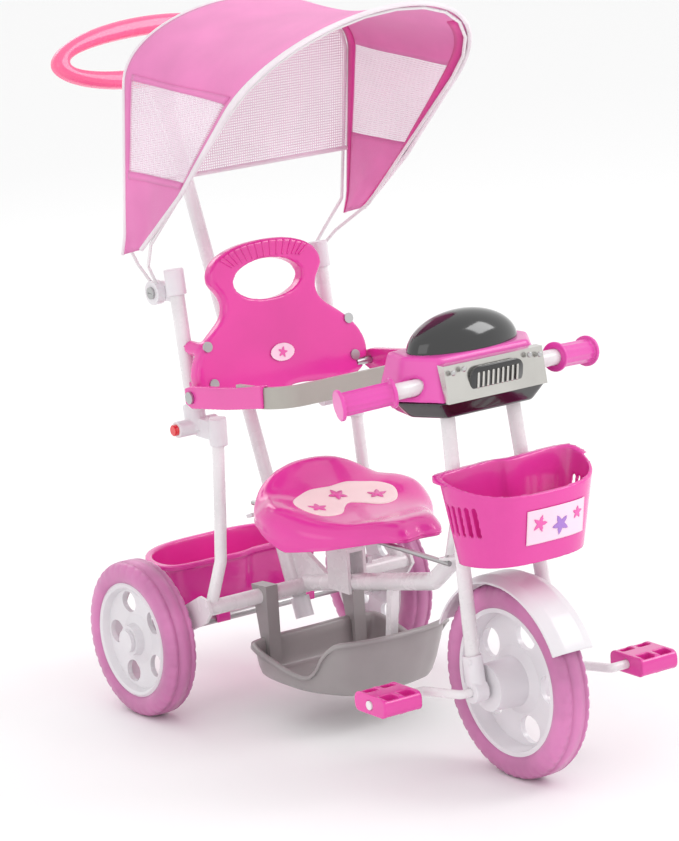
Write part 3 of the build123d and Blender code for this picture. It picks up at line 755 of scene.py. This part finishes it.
grille_low, grille_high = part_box("dash_grille")
face_tilt = Vector((0, -0.006, 0.040)).normalized()
across = Vector((1, 0, 0))
outward = across.cross(face_tilt) * 1.0
if outward.y > 0:
    outward = -outward
basis = Matrix((across, face_tilt, outward)).transposed()
face_mid = Vector((0, grille_low[1] + 0.0035, lerp(grille_low[2], grille_high[2], 0.5)))
rounded_slab("speaker_plate", 0.070, 0.030, 0.003, 0.012, face_mid, basis, MATS["black_plastic"], "steering")
for k in range(9):
    rounded_slab(f"speaker_bar_{k}", 0.0028, 0.018, 0.0022, 0.0013, face_mid + across * (-0.026 + 0.0065 * k) + outward * 0.0026, basis, MATS["silver_plastic"], "steering")
for k, (dx, dz) in enumerate([(-0.058, -0.013), (-0.058, 0.013), (0.058, -0.013), (0.058, 0.013), (-0.044, 0.015), (0.044, 0.015)]):
    rounded_slab(f"rivet_{k}", 0.006, 0.006, 0.0022, 0.0029, face_mid + across * dx + face_tilt * dz, basis, MATS["steel"], "steering")

# ---------------------------------------------------------------- tyres


def tread_tyre(cad, body, half, rim_r, radius, blocks):
    """Foam tyre turned about its axle, with grooves across each shoulder."""
    low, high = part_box(cad)
    centre = Vector([(a + b) / 2 for a, b in zip(low, high)])
    profile = [(half - 0.003, rim_r), (half - 0.0006, rim_r + 0.004), (half, rim_r + 0.008)]
    profile += [(half, radius - 0.013), (half - 0.0012, radius - 0.0065), (half - 0.0045, radius - 0.0022)]
    profile += [(half - 0.0085, radius - 0.0004), (half - 0.0095, radius - 0.0020), (half - 0.0115, radius - 0.0020), (half - 0.0125, radius)]
    profile += [(-x, r) for x, r in reversed(profile)]
    steps = blocks * 6
    bm = bmesh.new()
    rings = []
    for k in range(steps):
        t = 2 * pi * k / steps
        groove = 0.0014 if k % 6 in (0, 1) else 0.0
        ring = []
        for x, r in profile:
            shoulder = abs(x) > half - 0.0075 and r > radius - 0.009
            rr = r - (groove if shoulder else 0.0)
            ring.append(bm.verts.new((centre.x + x, centre.y + rr * cos(t), centre.z + rr * sin(t))))
        rings.append(ring)
    for k in range(steps):
        a, b = rings[k], rings[(k + 1) % steps]
        for m in range(len(profile)):
            n = (m + 1) % len(profile)
            bm.faces.new([a[m], a[n], b[n], b[m]])
    bmesh.ops.recalc_face_normals(bm, faces=bm.faces)
    mesh = bpy.data.meshes.new(cad + "_tread")
    bm.to_mesh(mesh)
    bm.free()
    obj = add_object(cad + "_tread", mesh, MATS["pink_tyre"], body)
    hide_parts(cad)
    return obj


tread_tyre("rear_tyre_right", "right_rear_wheel", 0.019, 0.067, 0.091, 40)
tread_tyre("rear_tyre_left", "left_rear_wheel", 0.019, 0.067, 0.091, 40)
tread_tyre("front_tyre", "front_wheel", 0.019, 0.082, 0.108, 48)

# ---------------------------------------------------------------- stage, light, camera

floor_mesh = bpy.data.meshes.new("floor")
floor_mesh.from_pydata([(-6, -6, 0), (6, -6, 0), (6, 6, 0), (-6, 6, 0)], [], [(0, 1, 2, 3)])
floor = bpy.data.objects.new("floor", floor_mesh)
bpy.context.scene.collection.objects.link(floor)
floor_mat, floor_bsdf = new_material("pale_floor", 0.9)
floor_bsdf.inputs["Base Color"].default_value = (0.94, 0.94, 0.94, 1)
floor.data.materials.append(floor_mat)

world = bpy.data.worlds.new("studio")
bpy.context.scene.world = world
world.use_nodes = True
world.node_tree.nodes["Background"].inputs["Color"].default_value = (1, 1, 1, 1)
world.node_tree.nodes["Background"].inputs["Strength"].default_value = 1.0


def area_light(name, place, aim, size, watts):
    data = bpy.data.lights.new(name, "AREA")
    data.size = size
    data.energy = watts
    lamp = bpy.data.objects.new(name, data)
    bpy.context.scene.collection.objects.link(lamp)
    lamp.location = place
    lamp.rotation_euler = (Vector(aim) - Vector(place)).to_track_quat("-Z", "Y").to_euler()


area_light("key", (1.8, -1.6, 2.2), (0, 0, 0.4), 1.2, 20)
area_light("fill", (-2.2, -1.2, 1.4), (0, 0, 0.4), 1.6, 6)
area_light("rim", (0.2, 2.4, 2.0), (0, 0, 0.5), 1.4, 10)

AZIMUTH, ELEVATION, ROLL = radians(-34.69), radians(13.52), radians(-3.47)
back = Vector((sin(AZIMUTH) * cos(ELEVATION), -cos(AZIMUTH) * cos(ELEVATION), sin(ELEVATION)))
right = Vector((0, 0, 1)).cross(back).normalized()
up = back.cross(right)
right, up = right * cos(ROLL) + up * sin(ROLL), up * cos(ROLL) - right * sin(ROLL)
camera_data = bpy.data.cameras.new("camera")
camera_data.sensor_fit = "HORIZONTAL"
camera_data.sensor_width = 36.0
camera_data.lens = 215.7
camera = bpy.data.objects.new("camera", camera_data)
bpy.context.scene.collection.objects.link(camera)
camera.matrix_world = Matrix((
    (right.x, up.x, back.x, -2.5330),
    (right.y, up.y, back.y, -3.6327),
    (right.z, up.z, back.z, 1.4162),
    (0, 0, 0, 1),
))
bpy.context.scene.camera = camera
bpy.context.scene.view_settings.view_transform = "Standard"
